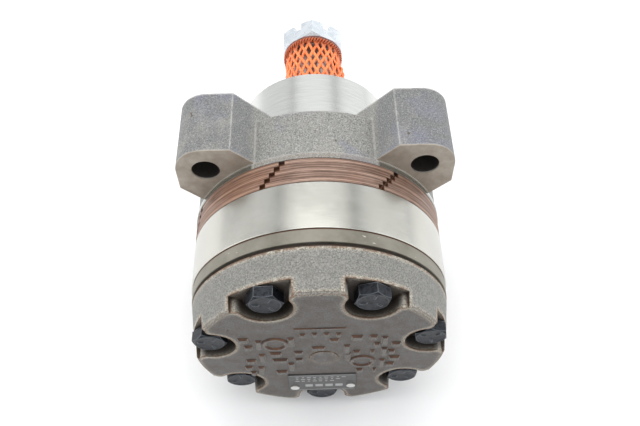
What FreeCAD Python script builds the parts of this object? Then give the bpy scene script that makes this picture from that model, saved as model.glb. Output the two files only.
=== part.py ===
import FreeCAD, Part
import math
import os
import re
import Sketcher

# A low-speed hydraulic motor with a four-ear wheel mount, a roller ring, a plate manifold
# and a tapered output shaft.  Millimetres.  +Y runs along the shaft to its free end, +Z is
# up, and the origin is on the shaft axis in the plane of the ears' machined mounting face.

DIMENSIONS = {
    # housing and wheel mount
    "pilot_radius": 63.5, "pilot_length": 3.1, "neck_radius": 62.9, "neck_front": 28,
    "collar_radius": 43, "collar_front": 37.5, "nose_radius": 41.25, "nose_front": 75,
    "edge_break": 1.0, "cast_round": 1.6,
    "ear_front": 36.5, "ear_reach": 66.5, "ear_half_width": 19.3, "ear_root": 36,
    "mount_offset": 52.18, "mount_hole_radius": 6.8,
    "bearing_bore": 30, "web_bore": 25.5, "rear_seat": 8, "front_seat": 48,
    "bearing_width": 16,
    # ports in the underside
    "port_spread": 17, "port_along": 13.5, "port_radius": 10.25, "port_floor": 45,
    "spot_radius": 12.8, "spot_face": 58, "passage_radius": 4, "passage_depth": 50,
    # bolted stack behind the housing
    "stack_radius": 63.2, "plate_thickness": 2.74, "stator_length": 25,
    "wear_radius": 62.6, "wear_thickness": 6.9, "hub_bore": 16, "notch_width": 3,
    "notch_depth": 2,
    "bolt_circle": 52.9, "bolt_hole": 4.9, "bolt_radius": 4.7, "bolt_head_across": 16.5,
    "bolt_head_height": 6, "bolt_grip_end": 10.5, "tapped_end": 13,
    # cover
    "groove_radius": 61, "groove_length": 1.9, "cover_radius": 62.3, "cover_draft_radius": 59.6,
    "cover_length": 23.3, "seat_centre": 52.6, "pocket_radius": 12.0, "pocket_flare": 3.4,
    "flare_start": 52.8, "pocket_floor": 7.3, "disc_radius": 6.9, "disc_height": 0.4,
    # roller set
    "roller_circle": 38, "roller_radius": 8, "roller_gap": 0.03, "eccentricity": 2.6,
    "rotor_gap": 0.04, "side_gap": 0.05, "stator_bore": 36,
    # splines of the drive link
    "spline_root": 13.6, "spline_tip": 11.3, "spline_gap": 0.45, "link_radius": 10.3,
    "link_front": 40, "spline_half": 8, "spacer_radius": 9.9, "spacer_gap": 0.1,
    # shaft
    "shaft_rear": 0.5, "shaft_bore": 15.5, "journal_radius": 19, "shoulder_radius": 20.5,
    "seal_journal": 17.5, "taper_start": 79, "taper_end": 129.8, "taper_big": 15.875,
    "taper_small": 12.7, "thread_radius": 12.5, "shaft_end": 147.5,
    "centre_radius": 4, "centre_depth": 10,
    "key_width": 7.94, "key_rear": 84, "key_length": 28, "key_top": 17.2,
    "nut_across": 42.1, "nut_rear": 131, "nut_thickness": 13, "nut_slot": 5,
    "net_rear": 78, "net_front": 129, "net_wall": 1.4,
    # bearings
    "cup_inner": 26.9, "race_outer": 21.6, "bearing_pitch": 24.25, "bearing_roller": 2.6,
    # seals
    "seal_groove_in": 58.4, "seal_groove_out": 60.6, "seal_depth": 1.4, "lip_gap": 0.05,
    # nameplate
    "plate_left": -16.9, "plate_right": 17.5, "plate_bottom": -44, "plate_top": -24.2,
    "plate_sheet": 0.6, "pin_radius": 1.0, "pin_head": 2.3, "pin_head_height": 1.1,
}
BOLTS = 7
ROLLERS = 7
PLATES = 5
EARS = 4
SPLINE_TEETH = 12
BEARING_ROLLERS = 16
NAMEPLATE_PINS = {"left": (-13.9, -38.0), "right": (14.9, -36.7)}
BOLT_HEAD_TURNS = [14, 52, 8, 21, 3, 40, 27]
NOTCH_STARTS = {"upper_left": -14.2, "upper_right": 37.2, "left_side": -65.7,
                "right_side": 91.0, "underside": 168.0}
NOTCH_STEP = -2.15

doc = FreeCAD.newDocument("hydraulic_motor")
sheet = doc.addObject("Spreadsheet::Sheet", "dims")
for row, (alias, size) in enumerate(DIMENSIONS.items(), start=1):
    sheet.set(f"A{row}", str(size))
    sheet.setAlias(f"A{row}", alias)
doc.recompute()

# Stations along the shaft, as expressions of the sheet.
MANIFOLD_FRONT = "-pilot_length"
STATOR_FRONT = f"(-pilot_length - {PLATES} * plate_thickness)"
WEAR_FRONT = f"({STATOR_FRONT} - stator_length)"
COVER_FRONT = f"({WEAR_FRONT} - wear_thickness)"
COVER_FACE = f"({COVER_FRONT} - cover_length)"
HEAD_SEAT = f"({COVER_FACE} + pocket_floor)"
ROTOR_MIDDLE = f"({WEAR_FRONT} + stator_length / 2)"


def named(text):
    """An expression with every sheet alias in it given its full name."""
    def full(match):
        word = match.group(0)
        return "dims." + word if word in DIMENSIONS else word
    return re.sub(r"[a-z_]+", full, str(text))


def value(text):
    """The number that an expression gives now."""
    return float(sheet.evalExpression(named(text)))


def bind(thing, prop, text):
    thing.setExpression(prop, named(text))


def origin_of(body, role):
    return next(item for item in body.Origin.OriginFeatures if item.Role == role)


def new_body(label):
    body = doc.addObject("PartDesign::Body", label)
    body.Label = label
    return body


def new_sketch(body, label, plane, height="0", turn=0):
    """A sketch on an origin plane of its body, raised along the plane's normal."""
    sketch = body.newObject("Sketcher::SketchObject", f"{body.Name}_{label}")
    sketch.AttachmentSupport = (origin_of(body, plane), [""])
    sketch.MapMode = "FlatFace"
    turned_by = FreeCAD.Rotation(FreeCAD.Vector(0, 0, 1), turn)
    sketch.AttachmentOffset = FreeCAD.Placement(FreeCAD.Vector(0, 0, value(height)), turned_by)
    bind(sketch, ".AttachmentOffset.Base.z", height)
    return sketch


def fix_point(sketch, item, end, across, up):
    """Hold one point of a sketch at two expressions from the sketch's origin."""
    for kind, text in (("DistanceX", across), ("DistanceY", up)):
        if abs(value(text)) < 1e-9:
            line = -2 if kind == "DistanceX" else -1
            sketch.addConstraint(Sketcher.Constraint("PointOnObject", item, end, line))
            continue
        number = sketch.addConstraint(
            Sketcher.Constraint(kind, -1, 1, item, end, value(text)))
        sketch.setExpression(f"Constraints[{number}]", named(text))


def fix_centre_height(sketch, arc, up):
    """Set how high the centre of an arc lies; its held ends settle the rest."""
    number = sketch.addConstraint(Sketcher.Constraint("DistanceY", -1, 1, arc, 3, value(up)))
    sketch.setExpression(f"Constraints[{number}]", named(up))


def draw_outline(sketch, points):
    """A closed outline of straight lines through (across, up) expressions."""
    spots = [FreeCAD.Vector(value(a), value(b), 0) for a, b in points]
    lines = []
    for first, last in zip(spots, spots[1:] + spots[:1]):
        lines.append(sketch.addGeometry(Part.LineSegment(first, last), False))
    for line, following in zip(lines, lines[1:] + lines[:1]):
        sketch.addConstraint(Sketcher.Constraint("Coincident", line, 2, following, 1))
    for line, (across, up) in zip(lines, points):
        fix_point(sketch, line, 1, across, up)


def draw_circle(sketch, across, up, radius):
    centre = FreeCAD.Vector(value(across), value(up), 0)
    circle = Part.Circle(centre, FreeCAD.Vector(0, 0, 1), value(radius))
    item = sketch.addGeometry(circle, False)
    number = sketch.addConstraint(Sketcher.Constraint("Radius", item, value(radius)))
    sketch.setExpression(f"Constraints[{number}]", named(radius))
    fix_point(sketch, item, 3, across, up)


def turn_about_shaft(body, label, points, cut=False):
    """Revolve (radius, along) points about the Y axis, to add or to cut."""
    sketch = new_sketch(body, label + "_sketch", "XY_Plane")
    draw_outline(sketch, points)
    kind = "PartDesign::Groove" if cut else "PartDesign::Revolution"
    before = body.Shape.Volume if cut else 0
    feature = body.newObject(kind, f"{body.Name}_{label}")
    feature.Profile = sketch
    feature.ReferenceAxis = (sketch, ["V_Axis"])
    feature.Angle = 360
    doc.recompute()
    if cut:
        assert feature.Shape.Volume < before - 1e-3, label
    return feature


def extrude(body, label, rear, front, draw, turn=0, cut=False):
    """Pad or pocket a drawing in the XZ plane from one station to another along Y."""
    start = f"-({rear})" if cut else f"-({front})"
    sketch = new_sketch(body, label + "_sketch", "XZ_Plane", start, turn)
    draw(sketch)
    before = body.Shape.Volume if cut else 0
    kind = "PartDesign::Pocket" if cut else "PartDesign::Pad"
    feature = body.newObject(kind, f"{body.Name}_{label}")
    feature.Profile = sketch
    feature.Length = value(f"{front} - ({rear})")
    bind(feature, "Length", f"{front} - ({rear})")
    doc.recompute()
    if cut:
        assert feature.Shape.Volume < before - 1e-3, label
    return feature


def repeat(body, label, features, count):
    """Repeat features evenly about the shaft axis."""
    pattern = body.newObject("PartDesign::PolarPattern", f"{body.Name}_{label}")
    pattern.Originals = features
    pattern.Axis = (origin_of(body, "Y_Axis"), [""])
    pattern.Angle = 360
    pattern.Occurrences = count
    body.Tip = pattern
    doc.recompute()
    return pattern


def ring(label, inner, outer, rear, front):
    """A plain ring about the shaft axis."""
    body = new_body(label)
    turn_about_shaft(body, "ring", [(inner, rear), (outer, rear), (outer, front), (inner, front)])
    return body


def around(circle, degrees):
    """The (across, up) expressions of a point on a circle, turned from straight up."""
    return f"{circle} * sin({degrees:.5f}deg)", f"{circle} * cos({degrees:.5f}deg)"


def bolt_angle(number):
    return (number + 0.5) * 360 / BOLTS


def bolt_circles(radius):
    def draw(sketch):
        for number in range(BOLTS):
            across, up = around("bolt_circle", bolt_angle(number))
            draw_circle(sketch, across, up, radius)
    return draw


def build_housing():
    body = new_body("housing")
    turn_about_shaft(body, "casting", [
        ("bearing_bore", MANIFOLD_FRONT), ("pilot_radius", MANIFOLD_FRONT),
        ("pilot_radius", "0"), ("neck_radius", "0"),
        ("neck_radius", "neck_front - cast_round"), ("neck_radius - cast_round", "neck_front"),
        ("collar_radius + cast_round", "neck_front"),
        ("collar_radius", "neck_front + cast_round"), ("collar_radius", "collar_front"),
        ("nose_radius", "collar_front + 0.5"),
        ("nose_radius", "nose_front - edge_break"), ("nose_radius - edge_break", "nose_front"),
        ("bearing_bore", "nose_front"), ("bearing_bore", "front_seat"),
        ("web_bore", "front_seat"), ("web_bore", "rear_seat + bearing_width"),
        ("bearing_bore", "rear_seat + bearing_width")])

    def ear(sketch):
        """A bar along the diagonal, squared off, with its corner round the mounting hole."""
        inner_low = "(ear_root - ear_half_width) / sqrt(2)"
        inner_high = "(ear_root + ear_half_width) / sqrt(2)"
        side = "ear_reach - ear_half_width * sqrt(2)"
        points = [(inner_low, inner_high), (inner_high, inner_low), ("ear_reach", side),
                  ("ear_reach", "mount_offset"), ("mount_offset", "ear_reach"),
                  (side, "ear_reach")]
        spots = [FreeCAD.Vector(value(a), value(b), 0) for a, b in points]
        centre = FreeCAD.Vector(value("mount_offset"), value("mount_offset"), 0)
        corner = value("ear_reach - mount_offset")
        arc = Part.ArcOfCircle(Part.Circle(centre, FreeCAD.Vector(0, 0, 1), corner),
                               0, math.pi / 2)
        for number, (first, last) in enumerate(zip(spots, spots[1:] + spots[:1])):
            is_corner = number == 3
            sketch.addGeometry(arc if is_corner else Part.LineSegment(first, last), False)
        for number, (across, up) in enumerate(points):
            following = (number + 1) % len(points)
            sketch.addConstraint(Sketcher.Constraint("Coincident", number, 2, following, 1))
            fix_point(sketch, number, 1, across, up)
        fix_centre_height(sketch, 3, "mount_offset")

    pad = extrude(body, "ear", "0", "ear_front", ear)
    repeat(body, "ears", [pad], EARS)
    hole = extrude(body, "mount_hole", "-1", "ear_front + 1", cut=True,
                   draw=lambda s: draw_circle(s, "mount_offset", "mount_offset",
                                              "mount_hole_radius"))
    repeat(body, "mount_holes", [hole], EARS)
    extrude(body, "tapped_holes", MANIFOLD_FRONT, "tapped_end", bolt_circles("bolt_hole"),
            cut=True)

    for label, radius, floor in (("spot", "spot_radius", "spot_face"),
                                 ("port", "port_radius", "port_floor")):
        sketch = new_sketch(body, label + "_sketch", "XY_Plane", f"-{floor}")
        for side in ("-", ""):
            draw_circle(sketch, f"{side}port_spread", "port_along", radius)
        before = body.Shape.Volume
        pocket = body.newObject("PartDesign::Pocket", f"housing_{label}")
        pocket.Profile = sketch
        pocket.Length = value("port_floor")
        bind(pocket, "Length", "port_floor")
        doc.recompute()
        assert pocket.Shape.Volume < before, label

    def passages(sketch):
        for side in ("-", ""):
            draw_circle(sketch, f"{side}port_spread", "-passage_depth", "passage_radius")

    extrude(body, "passages", MANIFOLD_FRONT, "port_along", passages, cut=True)
    turn_about_shaft(body, "seal_groove", seal_groove(MANIFOLD_FRONT, 1), cut=True)
    turn_about_shaft(body, "snap_groove", [
        ("bearing_bore - 1", "nose_front - 3"), ("bearing_bore + 1.2", "nose_front - 3"),
        ("bearing_bore + 1.2", "nose_front - 1.4"), ("bearing_bore - 1", "nose_front - 1.4")],
        cut=True)


def seal_groove(face, side):
    """A rectangular groove in a flat face; side says which way the metal lies along Y."""
    floor = f"{face} + ({side}) * seal_depth"
    above = f"{face} - ({side}) * 0.5"
    return [("seal_groove_in", above), ("seal_groove_out", above),
            ("seal_groove_out", floor), ("seal_groove_in", floor)]


def build_body_seals():
    places = [(MANIFOLD_FRONT, 1), (STATOR_FRONT, -1), (WEAR_FRONT, 1), (COVER_FRONT, -1)]
    for number, (face, side) in enumerate(places, start=1):
        far = f"{face} + ({side}) * (seal_depth - 0.05)"
        rear, front = (face, far) if side > 0 else (far, face)
        ring(f"body_seal_{number}", "seal_groove_in + 0.1", "seal_groove_out - 0.1", rear, front)


def build_manifold():
    """Brazed plates with a stair of small notches in their rims."""
    for number in range(PLATES):
        front = f"(-pilot_length - {number} * plate_thickness)"
        rear = f"(-pilot_length - {number + 1} * plate_thickness)"
        body = new_body(f"manifold_plate_{number + 1}")

        def draw(sketch, number=number):
            draw_circle(sketch, "0", "0", "stack_radius")
            draw_circle(sketch, "0", "0", "hub_bore")
            bolt_circles("bolt_hole")(sketch)
            for roller in range(ROLLERS):
                swirl = 360 / ROLLERS * (roller + 0.5) - 9 + 4.5 * number
                across, up = around("roller_circle", swirl)
                draw_circle(sketch, across, up, "passage_radius * 0.7")

        extrude(body, "plate", rear, front, draw)
        for side, start in NOTCH_STARTS.items():
            extrude(body, f"notch_{side}", rear, front, draw_notch,
                    turn=-(start + NOTCH_STEP * number), cut=True)


def draw_notch(sketch):
    """A small rectangle that bites into the rim at the top of the plate."""
    draw_outline(sketch, [
        ("-notch_width / 2", "stack_radius - notch_depth"),
        ("notch_width / 2", "stack_radius - notch_depth"),
        ("notch_width / 2", "stack_radius + 1"), ("-notch_width / 2", "stack_radius + 1")])


def build_roller_ring():
    body = new_body("stator_ring")

    def draw(sketch):
        draw_circle(sketch, "0", "0", "stack_radius")
        draw_circle(sketch, "0", "0", "stator_bore")
        bolt_circles("bolt_hole")(sketch)

    extrude(body, "ring", WEAR_FRONT, STATOR_FRONT, draw)
    pocket = extrude(body, "pocket", WEAR_FRONT, STATOR_FRONT, cut=True,
                     draw=lambda s: draw_circle(s, "0", "roller_circle",
                                                "roller_radius + roller_gap"))
    repeat(body, "pockets", [pocket], ROLLERS)
    turn_about_shaft(body, "front_groove", seal_groove(STATOR_FRONT, -1), cut=True)
    turn_about_shaft(body, "rear_groove", seal_groove(WEAR_FRONT, 1), cut=True)

    for number in range(ROLLERS):
        across, up = around("roller_circle", number * 360 / ROLLERS)
        rod(f"stator_roller_{number + 1}", "roller_radius", across,
            f"{WEAR_FRONT} + side_gap", up, "stator_length - 2 * side_gap")


def rod(label, radius, across, rear, up, length):
    """A Part cylinder along +Y."""
    cylinder = doc.addObject("Part::Cylinder", label)
    cylinder.Label = label
    cylinder.Placement.Rotation = FreeCAD.Rotation(FreeCAD.Vector(1, 0, 0), -90)
    bind(cylinder, "Radius", radius)
    bind(cylinder, "Height", length)
    bind(cylinder, ".Placement.Base.x", across)
    bind(cylinder, ".Placement.Base.y", rear)
    bind(cylinder, ".Placement.Base.z", up)
    return cylinder


def spline_face(root, tip, share):
    """A flat toothed face in the XY plane; share is the part of a pitch below the tips."""
    points = []
    pitch = 2 * math.pi / SPLINE_TEETH
    for tooth in range(SPLINE_TEETH):
        middle = tooth * pitch
        for radius, offset in ((root, -share / 2 - 0.12), (tip, -share / 2),
                               (tip, share / 2), (root, share / 2 + 0.12)):
            angle = middle + offset * pitch
            points.append(FreeCAD.Vector(radius * math.cos(angle), radius * math.sin(angle), 0))
    return Part.Face(Part.makePolygon(points + points[:1]))


def spline_prism(root, tip, share, length):
    """A toothed prism along +Y, centred on the origin."""
    solid = spline_face(root, tip, share).extrude(FreeCAD.Vector(0, 0, length))
    solid.translate(FreeCAD.Vector(0, 0, -length / 2))
    solid.rotate(FreeCAD.Vector(0, 0, 0), FreeCAD.Vector(1, 0, 0), -90)
    return solid


def female_spline(length):
    return spline_prism(value("spline_tip"), value("spline_root"), 0.42, length)


def male_spline(length):
    gap = value("spline_gap")
    return spline_prism(value("spline_tip") - gap, value("spline_root") - gap, 0.28, length)


def feature(label, shape):
    item = doc.addObject("Part::Feature", label)
    item.Label = label
    item.Shape = shape
    return item


def build_rotor():
    """The lobed rotor: the path of the roller centres, offset inward by the roller radius."""
    circle = value("roller_circle")
    swing = value("eccentricity")
    inset = value("roller_radius + rotor_gap")
    points = []
    steps = 180
    for step in range(steps):
        turn = 2 * math.pi * step / steps
        place = [circle * math.cos(turn) - swing * math.cos(ROLLERS * turn),
                 circle * math.sin(turn) - swing * math.sin(ROLLERS * turn)]
        along = [-circle * math.sin(turn) + swing * ROLLERS * math.sin(ROLLERS * turn),
                 circle * math.cos(turn) - swing * ROLLERS * math.cos(ROLLERS * turn)]
        size = math.hypot(*along)
        up = place[0] - inset * along[1] / size
        across = place[1] + inset * along[0] / size
        points.append(FreeCAD.Vector(across, 0, up))
    curve = Part.BSplineCurve()
    curve.interpolate(Points=points, PeriodicFlag=True)
    length = value("stator_length - 2 * side_gap")
    body = Part.Face(Part.Wire(curve.toShape())).extrude(FreeCAD.Vector(0, length, 0))
    body.translate(FreeCAD.Vector(0, -length / 2, 0))
    body = body.cut(female_spline(length + 2))
    body.translate(FreeCAD.Vector(0, value(ROTOR_MIDDLE), swing))
    feature("rotor", body)


def build_drive_link():
    """A bar with a toothed end in the rotor and one in the shaft, tilted between them."""
    rear = FreeCAD.Vector(0, value(ROTOR_MIDDLE), value("eccentricity"))
    front = FreeCAD.Vector(0, value("link_front"), 0)
    half = value("spline_half")
    span = (front - rear).Length
    bar = Part.makeCylinder(value("link_radius"), span + 2 * half + 4,
                            FreeCAD.Vector(0, -half - 2, 0), FreeCAD.Vector(0, 1, 0))
    far_end = male_spline(2 * half)
    far_end.translate(FreeCAD.Vector(0, span, 0))
    link = bar.fuse([male_spline(2 * half), far_end]).removeSplitter()
    tilt = math.degrees(math.atan2(rear.z - front.z, front.y - rear.y))
    link.rotate(FreeCAD.Vector(0, 0, 0), FreeCAD.Vector(1, 0, 0), -tilt)
    link.translate(rear)
    feature("drive_link", link)


def build_wear_plate():
    body = new_body("wear_plate")

    def draw(sketch):
        draw_circle(sketch, "0", "0", "wear_radius")
        draw_circle(sketch, "0", "0", "spacer_radius + spacer_gap")
        bolt_circles("bolt_hole")(sketch)

    extrude(body, "plate", COVER_FRONT, WEAR_FRONT, draw)
    ring_length = "wear_thickness - 2 * side_gap"
    rod("drive_spacer", "spacer_radius", "0", f"{COVER_FRONT} + side_gap", "0", ring_length)


def add_arc(sketch, across, up, radius, start, end):
    """A sketch arc about (across, up), between two angles in degrees."""
    centre = FreeCAD.Vector(value(across), value(up), 0)
    circle = Part.Circle(centre, FreeCAD.Vector(0, 0, 1), value(radius))
    arc = Part.ArcOfCircle(circle, math.radians(start), math.radians(end))
    return sketch.addGeometry(arc, False)


def draw_seat(sketch):
    """A round seat about the bolt, open through the side wall between rounded corners."""
    corner = "(pocket_radius + pocket_flare)"
    flare_end = "(flare_start + pocket_flare)"
    outside = "(pilot_radius + 2)"
    bottom = add_arc(sketch, "0", "seat_centre", "pocket_radius", 180, 360)
    right = add_arc(sketch, corner, "flare_start", "pocket_flare", 90, 180)
    left = add_arc(sketch, f"-{corner}", "flare_start", "pocket_flare", 0, 90)
    points = [("-pocket_radius", "flare_start"), ("-pocket_radius", "seat_centre"),
              ("pocket_radius", "seat_centre"), ("pocket_radius", "flare_start"),
              (corner, flare_end), (corner, outside), (f"-{corner}", outside),
              (f"-{corner}", flare_end)]
    spots = [FreeCAD.Vector(value(a), value(b), 0) for a, b in points]
    pairs = {"left_wall": (0, 1), "right_wall": (2, 3), "right_out": (4, 5),
             "mouth": (5, 6), "left_out": (6, 7)}
    lines = {}
    for name, (first, last) in pairs.items():
        lines[name] = sketch.addGeometry(Part.LineSegment(spots[first], spots[last]), False)
        fix_point(sketch, lines[name], 1, *points[first])
        if name != "right_out" and name != "mouth":
            fix_point(sketch, lines[name], 2, *points[last])
    joins = [(lines["left_wall"], 2, bottom, 1), (bottom, 2, lines["right_wall"], 1),
             (lines["right_wall"], 2, right, 2), (right, 1, lines["right_out"], 1),
             (lines["right_out"], 2, lines["mouth"], 1), (lines["mouth"], 2, lines["left_out"], 1),
             (lines["left_out"], 2, left, 2), (left, 1, lines["left_wall"], 1)]
    for join in joins:
        sketch.addConstraint(Sketcher.Constraint("Coincident", *join))
    fix_centre_height(sketch, bottom, "seat_centre")
    fix_centre_height(sketch, right, "flare_start")
    fix_centre_height(sketch, left, "flare_start")


def build_cover():
    body = new_body("end_cover")
    turn_about_shaft(body, "casting", [
        ("0", COVER_FRONT), ("groove_radius", COVER_FRONT),
        ("groove_radius", f"{COVER_FRONT} - groove_length"),
        ("cover_radius", f"{COVER_FRONT} - groove_length"),
        ("cover_draft_radius", f"{COVER_FACE} + edge_break"),
        ("cover_draft_radius - edge_break", COVER_FACE), ("0", COVER_FACE)])

    seat = extrude(body, "seat", COVER_FACE + " - 1", HEAD_SEAT, draw_seat,
                   turn=bolt_angle(0), cut=True)
    repeat(body, "seats", [seat], BOLTS)
    extrude(body, "bolt_holes", HEAD_SEAT + " - 1", COVER_FRONT, bolt_circles("bolt_hole"),
            cut=True)
    extrude(body, "disc", f"{COVER_FACE} - disc_height", f"{COVER_FACE} + 1",
            lambda s: draw_circle(s, "1.5", "-4", "disc_radius"))

    def pins(sketch):
        for across, up in NAMEPLATE_PINS.values():
            draw_circle(sketch, across, up, "pin_radius")

    extrude(body, "pin_holes", COVER_FACE, f"{COVER_FACE} + 5", pins, cut=True)
    turn_about_shaft(body, "seal_groove", seal_groove(COVER_FRONT, -1), cut=True)


def build_cover_bolts():
    bolts = []
    for number in range(BOLTS):
        across, up = around("bolt_circle", bolt_angle(number))
        shank = rod(f"bolt_shank_{number}", "bolt_radius", across, HEAD_SEAT, up,
                    f"bolt_grip_end - ({HEAD_SEAT})")
        head = doc.addObject("Part::Prism", f"bolt_head_{number}")
        head.Polygon = 6
        lay = FreeCAD.Rotation(FreeCAD.Vector(1, 0, 0), -90)
        spin = FreeCAD.Rotation(FreeCAD.Vector(0, 0, 1), BOLT_HEAD_TURNS[number])
        head.Placement.Rotation = lay.multiply(spin)
        bind(head, "Circumradius", "bolt_head_across / 2")
        bind(head, "Height", "bolt_head_height")
        bind(head, ".Placement.Base.x", across)
        bind(head, ".Placement.Base.y", f"{HEAD_SEAT} - bolt_head_height")
        bind(head, ".Placement.Base.z", up)
        bolt = doc.addObject("Part::MultiFuse", f"bolt_{number}")
        bolt.Shapes = [shank, head]
        bolts.append(bolt)
    group = doc.addObject("Part::Compound", "cover_bolts")
    group.Label = "cover_bolts"
    group.Links = bolts


def build_nameplate():
    body = new_body("nameplate")

    def draw(sketch):
        draw_outline(sketch, [("plate_left", "plate_bottom"), ("plate_right", "plate_bottom"),
                              ("plate_right", "plate_top"), ("plate_left", "plate_top")])
        for across, up in NAMEPLATE_PINS.values():
            draw_circle(sketch, across, up, "pin_radius")

    extrude(body, "sheet", f"{COVER_FACE} - plate_sheet", COVER_FACE, draw)
    pins = []
    for side, (across, up) in NAMEPLATE_PINS.items():
        shank = rod(f"pin_shank_{side}", "pin_radius", across, f"{COVER_FACE} - plate_sheet",
                    up, "5")
        head = rod(f"pin_head_{side}", "pin_head", across,
                   f"{COVER_FACE} - plate_sheet - pin_head_height", up, "pin_head_height")
        pin = doc.addObject("Part::MultiFuse", f"pin_{side}")
        pin.Shapes = [shank, head]
        pins.append(pin)
    group = doc.addObject("Part::Compound", "nameplate_screws")
    group.Label = "nameplate_screws"
    group.Links = pins


def build_bearing(name, seat):
    """Outer cup, inner race, rollers and cage of one roller bearing."""
    far = f"({seat} + bearing_width)"
    ring(f"{name}_bearing_cup", "cup_inner", "bearing_bore", seat, far)
    body = new_body(f"{name}_bearing_race")
    turn_about_shaft(body, "race", [
        ("journal_radius", seat), ("race_outer + 1", seat), ("race_outer + 1", f"{seat} + 1.8"),
        ("race_outer", f"{seat} + 1.8"), ("race_outer", f"{far} - 1.8"),
        ("race_outer + 1", f"{far} - 1.8"), ("race_outer + 1", far), ("journal_radius", far)])
    rollers = [rod(f"{name}_roller_{number}", "bearing_roller",
                   *weave(around("bearing_pitch", number * 360 / BEARING_ROLLERS),
                          f"{seat} + 2.5"), "bearing_width - 5")
               for number in range(BEARING_ROLLERS)]
    group = doc.addObject("Part::Compound", f"{name}_bearing_rollers")
    group.Label = f"{name}_bearing_rollers"
    group.Links = rollers
    cage = ring(f"{name}_bearing_cage", "bearing_pitch - 1", "bearing_pitch + 1",
                f"{seat} + 1", f"{far} - 1")
    gap = "bearing_roller + 0.1"
    window = extrude(cage, "window", f"{seat} + 2.4", f"{far} - 2.4", cut=True,
                     draw=lambda s: draw_outline(s, [
                         (f"-({gap})", "bearing_pitch - 2"), (gap, "bearing_pitch - 2"),
                         (gap, "bearing_pitch + 2"), (f"-({gap})", "bearing_pitch + 2")]))
    repeat(cage, "windows", [window], BEARING_ROLLERS)


def weave(place, rear):
    across, up = place
    return across, rear, up


def build_shaft():
    body = new_body("shaft_blank")
    turn_about_shaft(body, "bar", [
        ("shaft_bore", "shaft_rear"), ("journal_radius - 0.5", "shaft_rear"),
        ("journal_radius - 0.5", "rear_seat - 1"), ("journal_radius", "rear_seat - 1"),
        ("journal_radius", "rear_seat + bearing_width"),
        ("shoulder_radius", "rear_seat + bearing_width"),
        ("shoulder_radius", "front_seat"), ("journal_radius", "front_seat"),
        ("journal_radius", "front_seat + bearing_width"),
        ("seal_journal", "front_seat + bearing_width + 1"), ("seal_journal", "nose_front + 1"),
        ("taper_big", "taper_start - 1"), ("taper_big", "taper_start"),
        ("taper_small", "taper_end"), ("thread_radius - 1", "taper_end"),
        ("thread_radius - 1", "taper_end + 1.5"), ("thread_radius", "taper_end + 2.5"),
        ("thread_radius", "shaft_end - 1.5"), ("thread_radius - 1.5", "shaft_end"),
        ("centre_radius", "shaft_end"), ("centre_radius / 2", "shaft_end - centre_radius"),
        ("centre_radius / 2", "shaft_end - centre_depth"), ("0", "shaft_end - centre_depth - 1"),
        ("0", "link_front + spline_half + 4"),
        ("shaft_bore", "link_front + spline_half + 4"),
        ("shaft_bore", "link_front + spline_half + 2"),
        ("spline_tip", "link_front + spline_half + 2"),
        ("spline_tip", "link_front - spline_half - 2"),
        ("shaft_bore", "link_front - spline_half - 2")])
    doc.recompute()
    teeth = female_spline(value("2 * spline_half + 6"))
    teeth.translate(FreeCAD.Vector(0, value("link_front"), 0))
    key = Part.makeBox(value("key_width"), value("key_length"), value("key_width"),
                       FreeCAD.Vector(value("key_top - key_width"), value("key_rear"),
                                      value("-key_width / 2")))
    feature("output_shaft", body.Shape.cut([teeth, key]))
    feature("shaft_key", key)


def build_castle_nut():
    body = new_body("castle_nut")

    def hexagon(sketch):
        draw_outline(sketch, [around("nut_across / 2", corner * 60) for corner in range(6)])
        draw_circle(sketch, "0", "0", "thread_radius + 0.03")

    front = "(nut_rear + nut_thickness)"
    extrude(body, "hexagon", "nut_rear", front, hexagon)
    slot = extrude(body, "slot", f"{front} - nut_slot", f"{front} + 1", turn=30, cut=True,
                   draw=lambda s: draw_outline(s, [
                       ("-nut_slot / 2", "thread_radius - 2"),
                       ("nut_slot / 2", "thread_radius - 2"),
                       ("nut_slot / 2", "nut_across"), ("-nut_slot / 2", "nut_across")]))
    repeat(body, "slots", [slot], 6)
    for label, face, side in (("front_chamfer", front, -1), ("rear_chamfer", "nut_rear", 1)):
        turn_about_shaft(body, label, [
            ("nut_across / 2 - 2.6", face), ("nut_across / 2 + 1", face),
            ("nut_across / 2 + 1", f"{face} + ({side}) * 2.1")], cut=True)


def build_net():
    """Plain solid of the protective net: a sleeve over the taper, open over the key."""
    body = new_body("shaft_net")
    rear_inner = "taper_big + 0.3"
    front_inner = "taper_small + 1.3"
    turn_about_shaft(body, "sleeve", [
        (rear_inner, "net_rear"), (f"{rear_inner} + net_wall", "net_rear"),
        (f"{front_inner} + net_wall", "net_front"), (front_inner, "net_front")])

    def key_gap(sketch):
        draw_outline(sketch, [("thread_radius - 4", "key_width / 2 + 0.3"),
                              ("thread_radius - 4", "-key_width / 2 - 0.3"),
                              ("nose_radius", "-key_width / 2 - 0.3"),
                              ("nose_radius", "key_width / 2 + 0.3")])

    extrude(body, "key_gap", "key_rear - 0.3", "key_rear + key_length + 0.3", key_gap, cut=True)


def build_front_seals():
    seat = "(front_seat + bearing_width)"
    lip = "seal_journal + lip_gap"
    ring("shaft_seal", lip, "bearing_bore", f"{seat} + 1.2", f"{seat} + 5.2")
    ring("seal_backup_washer", "seal_journal + 0.4", "bearing_bore", f"{seat} + 5.2",
         f"{seat} + 7.2")
    ring("dust_seal", lip, "bearing_bore - 4", f"{seat} + 7.2", "nose_front - 0.3")
    ring("snap_ring", "bearing_bore - 3.6", "bearing_bore + 1.1", "nose_front - 2.9",
         "nose_front - 1.5")


build_housing()
build_body_seals()
build_manifold()
build_roller_ring()
build_rotor()
build_drive_link()
build_wear_plate()
build_cover()
build_cover_bolts()
build_nameplate()
build_bearing("rear", "rear_seat")
build_bearing("front", "front_seat")
build_shaft()
build_castle_nut()
build_net()
build_front_seals()
doc.recompute()

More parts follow.
